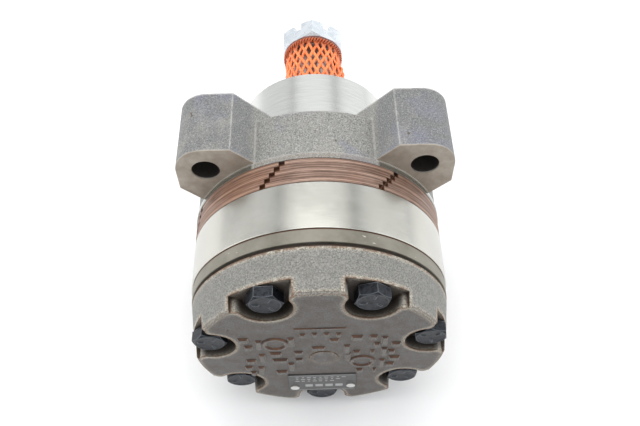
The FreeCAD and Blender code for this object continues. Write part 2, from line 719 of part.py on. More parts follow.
NODES = ["housing", "stator_ring", "rotor", "drive_link", "wear_plate", "drive_spacer",
         "end_cover", "cover_bolts", "nameplate", "nameplate_screws", "output_shaft",
         "shaft_key", "castle_nut", "shaft_net", "shaft_seal", "seal_backup_washer",
         "dust_seal", "snap_ring"]
NODES += [f"manifold_plate_{number + 1}" for number in range(PLATES)]
NODES += [f"stator_roller_{number + 1}" for number in range(ROLLERS)]
NODES += [f"body_seal_{number}" for number in range(1, 5)]
NODES += [f"{name}_bearing_{piece}" for name in ("rear", "front")
          for piece in ("cup", "race", "rollers", "cage")]

for item in doc.Objects:
    assert "Invalid" not in item.State and "Error" not in item.State, item.Label
os.makedirs("parts", exist_ok=True)
for label in NODES:
    shape = doc.getObjectsByLabel(label)[0].Shape
    assert not shape.isNull() and shape.isValid(), label
    shape.exportStep(f"parts/{label}.step")
print(len(NODES), "nodes")
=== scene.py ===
import math

import bmesh
import bpy
from mathutils import Matrix, Vector, noise


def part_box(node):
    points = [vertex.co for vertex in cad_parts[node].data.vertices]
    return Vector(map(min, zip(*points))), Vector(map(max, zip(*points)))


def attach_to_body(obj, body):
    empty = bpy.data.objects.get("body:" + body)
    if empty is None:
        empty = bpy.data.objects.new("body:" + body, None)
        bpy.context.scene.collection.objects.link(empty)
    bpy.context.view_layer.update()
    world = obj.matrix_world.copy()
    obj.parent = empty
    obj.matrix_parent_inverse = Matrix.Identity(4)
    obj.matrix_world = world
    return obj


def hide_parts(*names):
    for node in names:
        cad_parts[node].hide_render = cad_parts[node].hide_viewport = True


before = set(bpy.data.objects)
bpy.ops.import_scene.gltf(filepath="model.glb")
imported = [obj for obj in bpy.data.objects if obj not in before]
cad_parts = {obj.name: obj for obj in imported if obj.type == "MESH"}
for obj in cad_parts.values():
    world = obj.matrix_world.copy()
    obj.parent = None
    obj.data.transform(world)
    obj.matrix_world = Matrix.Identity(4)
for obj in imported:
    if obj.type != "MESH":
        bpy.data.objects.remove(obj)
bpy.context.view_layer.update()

# ---------------------------------------------------------------- places from the frame
MM = 0.001
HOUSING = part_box("housing")
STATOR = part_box("stator_ring")
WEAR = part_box("wear_plate")
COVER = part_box("end_cover")
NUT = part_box("castle_nut")
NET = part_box("shaft_net")
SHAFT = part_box("output_shaft")
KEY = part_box("shaft_key")
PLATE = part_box("nameplate")
FLOOR_Z = HOUSING[0].z - 0.1 * MM
STACK_RADIUS = STATOR[1].x
NOSE_RADIUS = 41.25 * MM
NOSE_START = 28.0 * MM
PILOT_RADIUS = 63.5 * MM
PILOT_REAR = -3.0 * MM
EAR_SIDE = 29.5 * MM
HOLE_RADIUS = 6.8 * MM
HOLE_CENTRE = HOUSING[1].x - 14.32 * MM


# ---------------------------------------------------------------- material helpers
class Paint:
    """A node material built a step at a time."""

    def __init__(self, name):
        self.material = bpy.data.materials.new(name)
        self.material.use_nodes = True
        self.tree = self.material.node_tree
        self.shader = self.tree.nodes["Principled BSDF"]
        self.place = self.tree.nodes.new("ShaderNodeTexCoord").outputs["Object"]
        self.bumps = None

    def node(self, kind, **settings):
        made = self.tree.nodes.new(kind)
        for key, setting in settings.items():
            if hasattr(made, key):
                setattr(made, key, setting)
            else:
                made.inputs[key].default_value = setting
        return made

    def link(self, source, target):
        self.tree.links.new(source, target)

    def stretched(self, scale, shift=(0, 0, 0)):
        mapping = self.node("ShaderNodeMapping")
        mapping.inputs["Scale"].default_value = scale
        mapping.inputs["Location"].default_value = shift
        self.link(self.place, mapping.inputs["Vector"])
        return mapping.outputs["Vector"]

    def noise(self, scale, detail=4, rough=0.55, place=None, warp=0.0):
        made = self.node("ShaderNodeTexNoise")
        made.inputs["Scale"].default_value = scale
        made.inputs["Detail"].default_value = detail
        made.inputs["Roughness"].default_value = rough
        made.inputs["Distortion"].default_value = warp
        self.link(place or self.place, made.inputs["Vector"])
        return made.outputs["Fac"]

    def ramp(self, source, low, high, start=0.0, end=1.0):
        """Stretch a value so that low..high becomes start..end, clamped."""
        made = self.node("ShaderNodeMapRange")
        made.clamp = True
        made.inputs["From Min"].default_value = low
        made.inputs["From Max"].default_value = high
        made.inputs["To Min"].default_value = start
        made.inputs["To Max"].default_value = end
        self.link(source, made.inputs["Value"])
        return made.outputs["Result"]

    def math(self, operation, *items):
        made = self.node("ShaderNodeMath")
        made.operation = operation
        for slot, item in zip(made.inputs, items):
            if isinstance(item, (int, float)):
                slot.default_value = item
            else:
                self.link(item, slot)
        return made.outputs["Value"]

    def mix(self, factor, first, second):
        """Blend two colours, each an (r, g, b) or a socket."""
        made = self.node("ShaderNodeMix")
        made.data_type = "RGBA"
        for name, item in (("A", first), ("B", second)):
            slot = next(s for s in made.inputs if s.name == name and s.type == "RGBA")
            if isinstance(item, tuple):
                slot.default_value = (*item, 1)
            else:
                self.link(item, slot)
        if isinstance(factor, (int, float)):
            made.inputs["Factor"].default_value = factor
        else:
            self.link(factor, made.inputs["Factor"])
        return next(s for s in made.outputs if s.type == "RGBA")

    def edges(self, reach):
        """1 where the surface turns within reach, as on an outward edge, and 0 on flats."""
        turn = self.node("ShaderNodeVectorMath")
        turn.operation = "DOT_PRODUCT"
        self.link(self.node("ShaderNodeNewGeometry").outputs["Normal"], turn.inputs[0])
        soft = self.node("ShaderNodeBevel", samples=8, Radius=reach)
        self.link(soft.outputs["Normal"], turn.inputs[1])
        outward = self.ramp(self.hollows(reach * 2), 0.40, 0.70)
        return self.math("MULTIPLY", outward, self.ramp(turn.outputs["Value"], 0.995, 0.93))

    def hollows(self, distance):
        """Ambient occlusion: 1 in the open and 0 deep in corners."""
        made = self.node("ShaderNodeAmbientOcclusion")
        made.samples = 8
        made.inputs["Distance"].default_value = distance
        return made.outputs["AO"]

    def bump(self, height, distance, strength=1.0):
        made = self.node("ShaderNodeBump")
        made.inputs["Strength"].default_value = strength
        made.inputs["Distance"].default_value = distance
        self.link(height, made.inputs["Height"])
        if self.bumps is not None:
            self.link(self.bumps, made.inputs["Normal"])
        self.bumps = made.outputs["Normal"]

    def finish(self, colour, roughness, metallic=0.0, **constants):
        self.link(colour, self.shader.inputs["Base Color"])
        if isinstance(roughness, (int, float)):
            self.shader.inputs["Roughness"].default_value = roughness
        else:
            self.link(roughness, self.shader.inputs["Roughness"])
        self.shader.inputs["Metallic"].default_value = metallic
        for key, setting in constants.items():
            self.shader.inputs[key.replace("_", " ")].default_value = setting
        if self.bumps is not None:
            self.link(self.bumps, self.shader.inputs["Normal"])
        return self.material

    def along(self, axis):
        split = self.node("ShaderNodeSeparateXYZ")
        self.link(self.place, split.inputs[0])
        return split.outputs[axis]


# ---------------------------------------------------------------- materials
def speckle(paint, fine=1500, coarse=240, share=1.0):
    """A shot-blast casting: bumps of fine grit over soft lumps, and their values for colour."""
    grit = paint.noise(fine, 3, 0.7)
    lumps = paint.noise(coarse, 5, 0.6)
    pits = paint.ramp(paint.noise(330, 1, 0.4), 0.765, 0.80)
    paint.bump(paint.math("MULTIPLY", lumps, share), 1.0 * MM, 0.35)
    paint.bump(paint.math("MULTIPLY", grit, share), 0.35 * MM, 0.55)
    return grit, lumps, pits


def ground(paint):
    """Fine grinding lines round the shaft axis, and a soft cloud for uneven tone."""
    lines = paint.noise(1.0, 3, 0.6, paint.stretched((90, 4200, 90)))
    cloud = paint.noise(34, 4, 0.6, warp=0.4)
    paint.bump(lines, 0.03 * MM, 0.30)
    return lines, cloud


def face_turn(paint, axis):
    """One part of the surface's own direction: 1 facing along the axis, -1 facing back."""
    split = paint.node("ShaderNodeSeparateXYZ")
    paint.link(paint.node("ShaderNodeNewGeometry").outputs["Normal"], split.inputs[0])
    return split.outputs[axis]


def radius_of(paint):
    """Distance of a point from the shaft axis."""
    across = paint.along("X")
    up = paint.along("Z")
    square = paint.math("ADD", paint.math("MULTIPLY", across, across),
                        paint.math("MULTIPLY", up, up))
    return paint.math("SQRT", square)


def hole_wall_shade(paint):
    """1 on the walls of the four mounting holes, behind the ears' milled faces, where painted
    shade goes.
    """
    squares = []
    for axis in ("X", "Z"):
        away = paint.math("SUBTRACT", paint.math("ABSOLUTE", paint.along(axis)), HOLE_CENTRE)
        squares.append(paint.math("MULTIPLY", away, away))
    distance = paint.math("SQRT", paint.math("ADD", *squares))
    return paint.math("MULTIPLY",
                      paint.ramp(distance, HOLE_RADIUS + 0.25 * MM, HOLE_RADIUS + 0.10 * MM),
                      paint.ramp(paint.along("Y"), 0.5 * MM, 1.1 * MM))


def housing_material():
    """Grey casting, with the nose turned bright and the ears' mounting faces milled."""
    paint = Paint("housing_casting")
    radius = radius_of(paint)
    forward = paint.along("Y")
    nose = paint.math("MULTIPLY",
                      paint.ramp(radius, NOSE_RADIUS + 0.65 * MM, NOSE_RADIUS + 0.50 * MM),
                      paint.ramp(forward, NOSE_START - 0.5 * MM, NOSE_START + 0.5 * MM))
    milled = paint.math("MULTIPLY", paint.ramp(forward, 0.7 * MM, 0.4 * MM),
                        paint.ramp(radius, PILOT_RADIUS - 0.1 * MM, PILOT_RADIUS + 0.2 * MM))
    beside_ears = paint.ramp(paint.math("ABSOLUTE", paint.along("X")),
                             EAR_SIDE - 1.0 * MM, EAR_SIDE + 1.0 * MM)
    pilot_length = paint.math("MULTIPLY", paint.ramp(forward, 0.0, -0.1 * MM),
                              paint.ramp(forward, PILOT_REAR - 0.5 * MM, PILOT_REAR))
    pilot = paint.math("MULTIPLY", beside_ears, pilot_length)
    bright = paint.math("MAXIMUM", nose, pilot)
    raw = paint.math("SUBTRACT", 1.0, paint.math("MAXIMUM", bright, milled))
    grit, lumps, pits = speckle(paint, share=raw)
    cast = paint.mix(paint.ramp(grit, 0.3, 0.72), (0.110, 0.109, 0.103), (0.40, 0.40, 0.38))
    cast = paint.mix(paint.ramp(lumps, 0.42, 0.75, 0, 0.35), cast, (0.25, 0.235, 0.21))
    on_ears = paint.ramp(radius, PILOT_RADIUS + 0.5 * MM, PILOT_RADIUS + 3.5 * MM, 0, 0.55)
    cast = paint.mix(on_ears, cast, (0.115, 0.121, 0.130))
    smudge = paint.ramp(paint.noise(42, 3, 0.5, warp=0.8), 0.50, 0.64, 0, 0.55)
    cast = paint.mix(smudge, cast, (0.185, 0.19, 0.25))
    buff = paint.ramp(paint.noise(55, 4, 0.6, paint.stretched((1, 0.7, 1), (3, 1, 2))),
                      0.52, 0.66, 0, 0.45)
    cast = paint.mix(buff, cast, (0.33, 0.32, 0.285))
    cast = paint.mix(paint.ramp(grit, 0.48, 0.36, 0, 0.45), cast, (0.060, 0.060, 0.062))
    cast = paint.mix(paint.ramp(grit, 0.54, 0.68, 0, 0.40), cast, (0.52, 0.52, 0.50))
    cast = paint.mix(pits, cast, (0.10, 0.075, 0.055))
    # Painted shade: the casting is painted darker and browner in its corners, where shade falls.
    corner = paint.ramp(paint.hollows(10 * MM), 0.25, 0.85, 0.55, 0)
    cast = paint.mix(corner, cast, (0.13, 0.115, 0.095))
    worn = paint.ramp(paint.noise(240, 3, 0.6), 0.30, 0.60, 0.20, 0.75)
    worn = paint.math("MULTIPLY", worn, paint.ramp(forward, -2.0 * MM, 0.0))
    cast = paint.mix(paint.math("MULTIPLY", worn, paint.edges(2.2 * MM)), cast,
                     (0.56, 0.555, 0.525))
    turned = paint.noise(1.0, 3, 0.6, paint.stretched((70, 2600, 70)))
    paint.bump(paint.math("MULTIPLY", turned, bright), 0.04 * MM, 0.3)
    bright_tone = paint.mix(paint.ramp(turned, 0.35, 0.65), (0.66, 0.665, 0.64),
                            (0.74, 0.745, 0.715))
    # Painted shade: the pilot band is painted darker grey-green past its thin bright edge line.
    pilot_band_shade = paint.math("MULTIPLY", pilot, paint.ramp(forward, -0.8 * MM, -1.1 * MM))
    bright_tone = paint.mix(pilot_band_shade, bright_tone, (0.34, 0.355, 0.325))
    tan = paint.mix(paint.ramp(paint.noise(160, 5, 0.6), 0.35, 0.7),
                    (0.33, 0.285, 0.235), (0.47, 0.425, 0.37))
    shade = paint.ramp(radius, PILOT_RADIUS + 14.5 * MM, PILOT_RADIUS + 0.5 * MM, 0, 0.45)
    tan = paint.mix(shade, tan, (0.19, 0.135, 0.09))
    colour = paint.mix(milled, cast, tan)
    # Painted shade: the walls inside the mounting holes are painted nearly black.
    colour = paint.mix(hole_wall_shade(paint), colour, (0.022, 0.018, 0.014))
    colour = paint.mix(bright, colour, bright_tone)
    rear = paint.math("MULTIPLY", paint.ramp(forward, PILOT_REAR, PILOT_REAR - 0.08 * MM),
                      paint.ramp(radius, PILOT_RADIUS - 0.5 * MM, PILOT_RADIUS - 0.8 * MM))
    colour = paint.mix(rear, colour, (0.09, 0.05, 0.035))
    metal = paint.math("MAXIMUM", paint.math("MULTIPLY", bright, 0.92),
                       paint.math("MULTIPLY", milled, 0.5))
    rough = paint.ramp(bright, 0, 1, 0.62, 0.27)
    material = paint.finish(colour, rough)
    paint.link(metal, paint.shader.inputs["Metallic"])
    return material


def ground_material(name, dark, light, rough=(0.24, 0.38), rust=0.0, metal=0.95):
    """Ground or turned metal between two tones, with rust spots where they are asked for."""
    paint = Paint(name)
    lines, cloud = ground(paint)
    tone = paint.math("ADD", paint.math("MULTIPLY", lines, 0.35),
                      paint.math("MULTIPLY", cloud, 0.65))
    colour = paint.mix(paint.ramp(tone, 0.35, 0.65), dark, light)
    if rust:
        spots = paint.ramp(paint.noise(210, 3, 0.6, warp=0.5), 0.745, 0.79, 0, rust)
        colour = paint.mix(spots, colour, (0.30, 0.15, 0.07))
    return paint.finish(colour, paint.ramp(cloud, 0.3, 0.7, *rough), metal)


def manifold_material(number):
    """Copper-brazed plate: brown, with dark seams, a broken braze line and fine scratches."""
    low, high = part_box(f"manifold_plate_{number}")
    paint = Paint(f"brazed_plate_{number}")
    lines = paint.noise(1.0, 4, 0.65, paint.stretched((45, 2600, 45), (number, 0, 0)))
    stain = paint.noise(85, 5, 0.65, paint.stretched((1, 2.4, 1), (0, number, 0)), warp=0.5)
    colour = paint.mix(paint.ramp(stain, 0.3, 0.7), (0.165, 0.098, 0.073), (0.325, 0.215, 0.165))
    colour = paint.mix(paint.ramp(lines, 0.52, 0.68, 0, 0.7), colour, (0.46, 0.33, 0.265))
    colour = paint.mix(paint.ramp(lines, 0.46, 0.34, 0, 0.85), colour, (0.080, 0.045, 0.034))
    orange = paint.ramp(paint.noise(26, 3, 0.5), 0.45, 0.66, 0, 0.45)
    colour = paint.mix(orange, colour, (0.36, 0.17, 0.095))
    forward = paint.along("Y")
    waver = paint.math("MULTIPLY", paint.ramp(stain, 0.3, 0.7, -1, 1), 0.12 * MM)
    station = paint.math("ADD", forward, waver)
    seam = paint.math("MAXIMUM", paint.ramp(station, low.y + 0.45 * MM, low.y + 0.20 * MM),
                      paint.ramp(station, high.y - 0.30 * MM, high.y - 0.10 * MM))
    middle = (low.y + high.y) / 2
    braze = paint.math("ABSOLUTE", paint.math("SUBTRACT", station, middle))
    broken = paint.ramp(paint.noise(70, 3, 0.6, paint.stretched((1, 0.4, 1), (number, 0, 0))),
                        0.38, 0.60, 0.40, 0.95)
    braze = paint.math("MULTIPLY", paint.ramp(braze, 0.30 * MM, 0.10 * MM), broken)
    colour = paint.mix(braze, colour, (0.52, 0.36, 0.28) if number % 2 else (0.10, 0.06, 0.045))
    colour = paint.mix(paint.math("MULTIPLY", seam, broken), colour, (0.075, 0.042, 0.030))
    deep = paint.ramp(radius_of(paint), STACK_RADIUS - 0.3 * MM, STACK_RADIUS - 0.7 * MM)
    colour = paint.mix(deep, colour, (0.150, 0.070, 0.040))
    paint.bump(lines, 0.1 * MM, 0.5)
    return paint.finish(colour, paint.ramp(stain, 0.3, 0.7, 0.40, 0.60), 0.45)


def wear_material():
    """Khaki phosphate plate with small nicks and a rusty seam beside the stator ring."""
    paint = Paint("wear_plate_steel")
    cloud = paint.noise(70, 5, 0.65)
    nicks = paint.ramp(paint.noise(1.0, 2, 0.5, paint.stretched((260, 900, 260))), 0.72, 0.76)
    colour = paint.mix(paint.ramp(cloud, 0.3, 0.7), (0.185, 0.172, 0.138), (0.285, 0.270, 0.228))
    colour = paint.mix(nicks, colour, (0.55, 0.53, 0.48))
    seam = paint.ramp(paint.along("Y"), WEAR[1].y - 0.7 * MM, WEAR[1].y - 0.3 * MM)
    colour = paint.mix(seam, colour, (0.13, 0.060, 0.035))
    paint.bump(nicks, 0.1 * MM, 0.4)
    paint.bump(paint.noise(1300, 3, 0.6), 0.1 * MM, 0.3)
    return paint.finish(colour, paint.ramp(cloud, 0.3, 0.7, 0.40, 0.55), 0.6)


def cover_material():
    """Cover casting: lighter blasted wall, a browner face painted darker as shade, painted shade
    in the hollows, worn and rusty edges.
    """
    paint = Paint("cover_casting")
    grit, lumps, pits = speckle(paint, 1500, 200)
    toward = face_turn(paint, "Y")
    # Painted shade: the face, which turns away from the overhead light, takes a darker copy of
    # the wall's colour; its lumps are browner too.
    facing = paint.ramp(toward, -0.80, -0.97)
    wall = paint.mix(paint.ramp(grit, 0.30, 0.70), (0.090, 0.088, 0.080), (0.340, 0.335, 0.312))
    face = paint.mix(paint.ramp(grit, 0.3, 0.72), (0.058, 0.054, 0.051), (0.190, 0.178, 0.168))
    face = paint.mix(paint.ramp(lumps, 0.42, 0.68, 0, 0.55), face, (0.110, 0.090, 0.074))
    colour = paint.mix(facing, wall, face)
    worn = paint.mix(paint.ramp(grit, 0.38, 0.60), (0.17, 0.145, 0.105), (0.66, 0.62, 0.52))
    colour = paint.mix(paint.math("MULTIPLY", paint.edges(4.6 * MM), 0.75), colour, worn)
    patch = paint.ramp(paint.noise(150, 4, 0.6, warp=0.6), 0.36, 0.52, 0, 0.85)
    rim = paint.math("MULTIPLY", paint.edges(2.2 * MM), patch)
    colour = paint.mix(rim, colour, (0.170, 0.082, 0.040))
    # Painted shade in the hollows and pockets: dark brown in the wide ones, nearly black deep
    # inside.
    hollow_shade = paint.ramp(paint.hollows(16 * MM), 0.40, 0.90, 0.75, 0)
    colour = paint.mix(hollow_shade, colour, (0.075, 0.050, 0.030))
    deep_hollow_shade = paint.ramp(paint.hollows(10 * MM), 0.35, 0.80, 0.95, 0)
    colour = paint.mix(deep_hollow_shade, colour, (0.016, 0.012, 0.009))
    colour = paint.mix(pits, colour, (0.05, 0.038, 0.03))
    groove = paint.ramp(paint.along("Y"), WEAR[0].y - 1.8 * MM, WEAR[0].y - 1.5 * MM)
    colour = paint.mix(groove, colour, (0.045, 0.030, 0.022))
    return paint.finish(colour, paint.ramp(lumps, 0.3, 0.7, 0.50, 0.68), 0.35)


def pad_material():
    """Raised pads of the cover: a lighter face colour, rust on the sides that look up, and a
    painted highlight on their edges.
    """
    paint = Paint("cover_pad_casting")
    grit, lumps, _ = speckle(paint, 1250, 200)
    top = paint.mix(paint.ramp(grit, 0.3, 0.72), (0.075, 0.069, 0.064), (0.225, 0.210, 0.195))
    side = paint.math("MULTIPLY", paint.ramp(face_turn(paint, "Y"), -0.95, -0.75),
                      paint.ramp(face_turn(paint, "Z"), 0.0, 0.3))
    rust = paint.mix(paint.ramp(lumps, 0.35, 0.65), (0.050, 0.024, 0.015), (0.135, 0.068, 0.040))
    colour = paint.mix(side, top, rust)
    # Painted highlight: a pale beige rim along the pads' edges, weaker on the rust-brown sides.
    rim_highlight = paint.math("MULTIPLY", paint.edges(0.7 * MM), paint.ramp(side, 0.0, 1.0, 0.80, 0.0))
    colour = paint.mix(rim_highlight, colour, (0.36, 0.33, 0.285))
    return paint.finish(colour, paint.ramp(lumps, 0.3, 0.7, 0.55, 0.7), 0.2)


def bolt_material():
    """Black-oxide bolt: blue-black with pale scuffs, darker stains and worn edges."""
    paint = Paint("black_oxide")
    cloud = paint.noise(170, 5, 0.6, warp=0.3)
    scuff = paint.ramp(paint.noise(420, 6, 0.75), 0.60, 0.75, 0, 0.6)
    colour = paint.mix(paint.ramp(cloud, 0.35, 0.7), (0.011, 0.013, 0.017), (0.030, 0.035, 0.044))
    colour = paint.mix(scuff, colour, (0.12, 0.125, 0.135))
    stain = paint.ramp(paint.noise(700, 4, 0.7, paint.stretched((1, 1, 1), (0.3, 0.1, 0.2))),
                       0.53, 0.58, 0, 0.9)
    colour = paint.mix(stain, colour, (0.003, 0.003, 0.004))
    colour = paint.mix(paint.math("MULTIPLY", paint.edges(0.6 * MM), 0.6), colour,
                       (0.20, 0.215, 0.235))
    paint.bump(paint.noise(900, 4, 0.6), 0.1 * MM, 0.4)
    return paint.finish(colour, paint.ramp(cloud, 0.3, 0.7, 0.30, 0.50), 0.7)


def zinc_material():
    """Clear zinc: bluish white with faint mottling."""
    paint = Paint("clear_zinc")
    cloud = paint.noise(130, 4, 0.6, warp=0.4)
    colour = paint.mix(paint.ramp(cloud, 0.3, 0.7), (0.62, 0.67, 0.72), (0.83, 0.87, 0.91))
    paint.bump(paint.noise(1400, 3, 0.6), 0.08 * MM, 0.35)
    return paint.finish(colour, paint.ramp(cloud, 0.3, 0.7, 0.22, 0.34), 0.65)


def net_material():
    """Orange polyethylene strands: waxy, a little translucent, dark at the rolled end with
    painted shade from the nut.
    """
    paint = Paint("orange_polyethylene")
    cloud = paint.noise(220, 3, 0.5)
    colour = paint.mix(paint.ramp(cloud, 0.3, 0.7), (0.93, 0.19, 0.05), (1.0, 0.30, 0.10))
    # Painted shade: the strands turn dark red-brown towards the rolled end, where the nut shades
    # them.
    rolled = paint.ramp(paint.along("Y"), NET[1].y - 6.5 * MM, NET[1].y - 3.0 * MM, 0, 0.85)
    colour = paint.mix(rolled, colour, (0.42, 0.095, 0.035))
    paint.bump(paint.noise(1600, 3, 0.5), 0.1 * MM, 0.3)
    return paint.finish(colour, paint.ramp(cloud, 0.3, 0.7, 0.34, 0.48), 0.0,
                        Subsurface_Weight=0.15, Subsurface_Scale=1.0 * MM)


def plate_material():
    """Dark brushed sheet of the nameplate."""
    paint = Paint("nameplate_print")
    brush = paint.noise(1.0, 3, 0.6, paint.stretched((60, 60, 2600)))
    colour = paint.mix(paint.ramp(brush, 0.3, 0.7), (0.070, 0.070, 0.072), (0.14, 0.14, 0.14))
    paint.bump(brush, 0.05 * MM, 0.3)
    return paint.finish(colour, paint.ramp(brush, 0.3, 0.7, 0.28, 0.45), 0.8)


def rubber_material():
    """Black rubber of the seals, with a fine grain."""
    paint = Paint("seal_rubber")
    grain = paint.noise(900, 4, 0.6)
    colour = paint.mix(paint.ramp(grain, 0.3, 0.7), (0.012, 0.012, 0.013), (0.035, 0.034, 0.033))
    paint.bump(grain, 0.1 * MM, 0.4)
    return paint.finish(colour, paint.ramp(grain, 0.3, 0.7, 0.5, 0.7))


MATERIALS = {
    "housing": housing_material(),
    "ring": ground_material("ground_ring_steel", (0.50, 0.492, 0.447), (0.59, 0.582, 0.535),
                            rough=(0.20, 0.27), rust=0.8),
    "steel": ground_material("ground_steel", (0.48, 0.48, 0.47), (0.66, 0.66, 0.65)),
    "cage": ground_material("pressed_steel", (0.30, 0.30, 0.29), (0.46, 0.45, 0.43)),
    "bronze": ground_material("dull_bronze", (0.40, 0.27, 0.14), (0.56, 0.42, 0.24)),
    "print": ground_material("printed_bars", (0.26, 0.26, 0.26), (0.42, 0.42, 0.42), metal=0.4),
    "bright": ground_material("bright_drive_screw", (0.52, 0.51, 0.49), (0.80, 0.79, 0.76),
                              rough=(0.15, 0.30)),
    "wear": wear_material(),
    "cover": cover_material(),
    "pads": pad_material(),
    "bolt": bolt_material(),
    "zinc": zinc_material(),
    "net": net_material(),
    "plate": plate_material(),
    "rubber": rubber_material(),
}
NODE_MATERIALS = {
    "housing": "housing", "stator_ring": "ring", "wear_plate": "wear", "end_cover": "cover",
    "cover_bolts": "bolt", "nameplate": "plate", "nameplate_screws": "bright",
    "castle_nut": "zinc", "shaft_net": "net", "snap_ring": "cage",
    "seal_backup_washer": "bronze", "rear_bearing_cage": "cage", "front_bearing_cage": "cage",
}
for node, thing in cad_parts.items():
    kind = "rubber" if "seal" in node and "washer" not in node else "steel"
    material = MATERIALS[NODE_MATERIALS.get(node, kind)]
    if node.startswith("manifold_plate_"):
        material = manifold_material(int(node[-1]))
    thing.data.materials.clear()
    thing.data.materials.append(material)


# ---------------------------------------------------------------- pieces
def rounded(node, body, width):
    """A copy of a CAD node with its edges rounded, standing for the node."""
    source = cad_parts[node]
    mesh = source.data.copy()
    work = bmesh.new()
    work.from_mesh(mesh)
    bmesh.ops.remove_doubles(work, verts=work.verts, dist=0.002 * MM)
    bmesh.ops.dissolve_limit(work, angle_limit=math.radians(0.6), verts=work.verts,
                             edges=work.edges)
    work.to_mesh(mesh)
    work.free()
    piece = bpy.data.objects.new(node + "_finished", mesh)
    bpy.context.collection.objects.link(piece)
    bevel = piece.modifiers.new("edges", "BEVEL")
    bevel.width = width * MM
    bevel.segments = 3
    bevel.limit_method = "ANGLE"
    bevel.angle_limit = math.radians(30)
    bevel.use_clamp_overlap = True
    bevel.harden_normals = False
    smooth(mesh, 32)
    weigh = piece.modifiers.new("normals", "WEIGHTED_NORMAL")
    weigh.keep_sharp = True
    attach(piece, body, node)
    return piece


def smooth(mesh, degrees):
    """Shade the mesh smooth, and sharp where it turns by more than degrees."""
    for face in mesh.polygons:
        face.use_smooth = True
    mesh.set_sharp_from_angle(angle=math.radians(degrees))


def attach(piece, body, node):
    """Ride on the body and stand for the node."""
    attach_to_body(piece, body)
    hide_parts(node)


# Each rounded node's body, and its bevel's width in millimetres.
BEVELS = {"housing": ("motor_body", 1.0), "stator_ring": ("motor_body", 0.35),
          "wear_plate": ("motor_body", 0.35), "end_cover": ("motor_body", 0.9),
          "castle_nut": ("shaft", 0.4), "shaft_key": ("shaft", 0.4)}
for node, (body, width) in BEVELS.items():
    rounded(node, body, width)


def new_piece(name, vertices, faces, material, body="motor_body", slot=None, degrees=35):
    """A mesh piece with its own material that rides on a body."""
    mesh = bpy.data.meshes.new(name)
    mesh.from_pydata([tuple(point) for point in vertices], [], faces)
    mesh.validate()
    work = bmesh.new()
    work.from_mesh(mesh)
    bmesh.ops.recalc_face_normals(work, faces=work.faces)
    work.to_mesh(mesh)
    work.free()
    smooth(mesh, degrees)
    mesh.materials.append(material)
    piece = bpy.data.objects.new(name, mesh)
    bpy.context.collection.objects.link(piece)
    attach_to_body(piece, body)
    return piece


def skin(rings, closed_start=False, closed_end=False):
    """Vertices and faces that join rings of equal point counts."""
    count = len(rings[0])
    vertices = [point for ring in rings for point in ring]
    faces = []
    for row in range(len(rings) - 1):
        for step in range(count):
            following = (step + 1) % count
            faces.append((row * count + step, row * count + following,
                          (row + 1) * count + following, (row + 1) * count + step))
    if closed_start:
        faces.append(tuple(range(count)))
    if closed_end:
        faces.append(tuple(range((len(rings) - 1) * count, len(rings) * count)))
    return vertices, faces


def around(sides):
    """Equal turns round a circle, in radians."""
    return [2 * math.pi * side / sides for side in range(sides)]


def merge(parts):
    """Join (vertices, faces) parts into one."""
    vertices, faces = [], []
    for more, polygons in parts:
        start = len(vertices)
        vertices += more
        faces += [tuple(start + index for index in polygon) for polygon in polygons]
    return vertices, faces


# ---------------------------------------------------------------- cover bolts
BOLT_COUNT = 7
BOLT_CIRCLE = 52.9 * MM
HEAD_ACROSS = 14.29 * MM
HEAD_SEAT = COVER[0].y + 7.7 * MM
HEAD_HEIGHT = 6.0 * MM
HEAD_CROWN = HEAD_ACROSS / 2 * 0.955
SHANK_RADIUS = 4.7 * MM
SHANK_END = 10.5 * MM
SHANK_SIDES = 32
MARK_RADIUS = 4.0 * MM
HEAD_TURNS = [14, 52, 8, 21, 3, 40, 27]


def hexagon_radius(angle, across):
    """Distance from a hexagon's centre to its outline at an angle, with a corner at 0."""
    part = (angle % (math.pi / 3)) - math.pi / 6
    return across / 2 / math.cos(part)


def bolt_head(turn):
    """A forged hexagon head along -Y, with a washer face, turned-off corners and a dished top."""
    steps = 72
    washer_face = HEAD_ACROSS * 0.47
    profile = [("round", 0.0, washer_face), ("round", 0.5 * MM, washer_face),
               ("hex", 0.5 * MM, 0), ("hex_top", HEAD_HEIGHT, 0),
               ("round", HEAD_HEIGHT, HEAD_CROWN),
               ("round", HEAD_HEIGHT - 0.05 * MM, HEAD_CROWN * 0.96),
               ("round", HEAD_HEIGHT - 0.22 * MM, HEAD_CROWN * 0.80),
               ("round", HEAD_HEIGHT - 0.25 * MM, HEAD_CROWN * 0.2)]
    rings = []
    for kind, height, radius in profile:
        ring = []
        for step in range(steps):
            angle = 2 * math.pi * step / steps
            reach = radius if kind == "round" else hexagon_radius(angle, HEAD_ACROSS)
            drop = height
            if kind == "hex_top":
                drop = height - (reach - HEAD_CROWN) * math.tan(math.radians(30))
            spin = angle + math.radians(turn)
            ring.append(Vector((reach * math.sin(spin), -drop, reach * math.cos(spin))))
        rings.append(ring)
    return skin(rings, closed_start=True, closed_end=True)


def raised_bar(length, width, height):
    """A small bar with sloped sides, lying in XZ and standing towards -Y."""
    rings = []
    for rise, shrink in ((0.0, 0.0), (height, height * 0.8)):
        half_long, half_wide = length / 2 - shrink, width / 2 - shrink
        rings.append([Vector((x, -rise, z)) for x, z in (
            (-half_long, -half_wide), (half_long, -half_wide),
            (half_long, half_wide), (-half_long, half_wide))])
    return skin(rings, closed_start=True, closed_end=True)


def moved(part, matrix):
    """The part's vertices carried by the matrix, with its faces."""
    vertices, faces = part
    return [matrix @ point for point in vertices], faces


def about_shaft(degrees):
    """Turn that carries +Z towards +X."""
    return Matrix.Rotation(math.radians(degrees), 4, "Y")


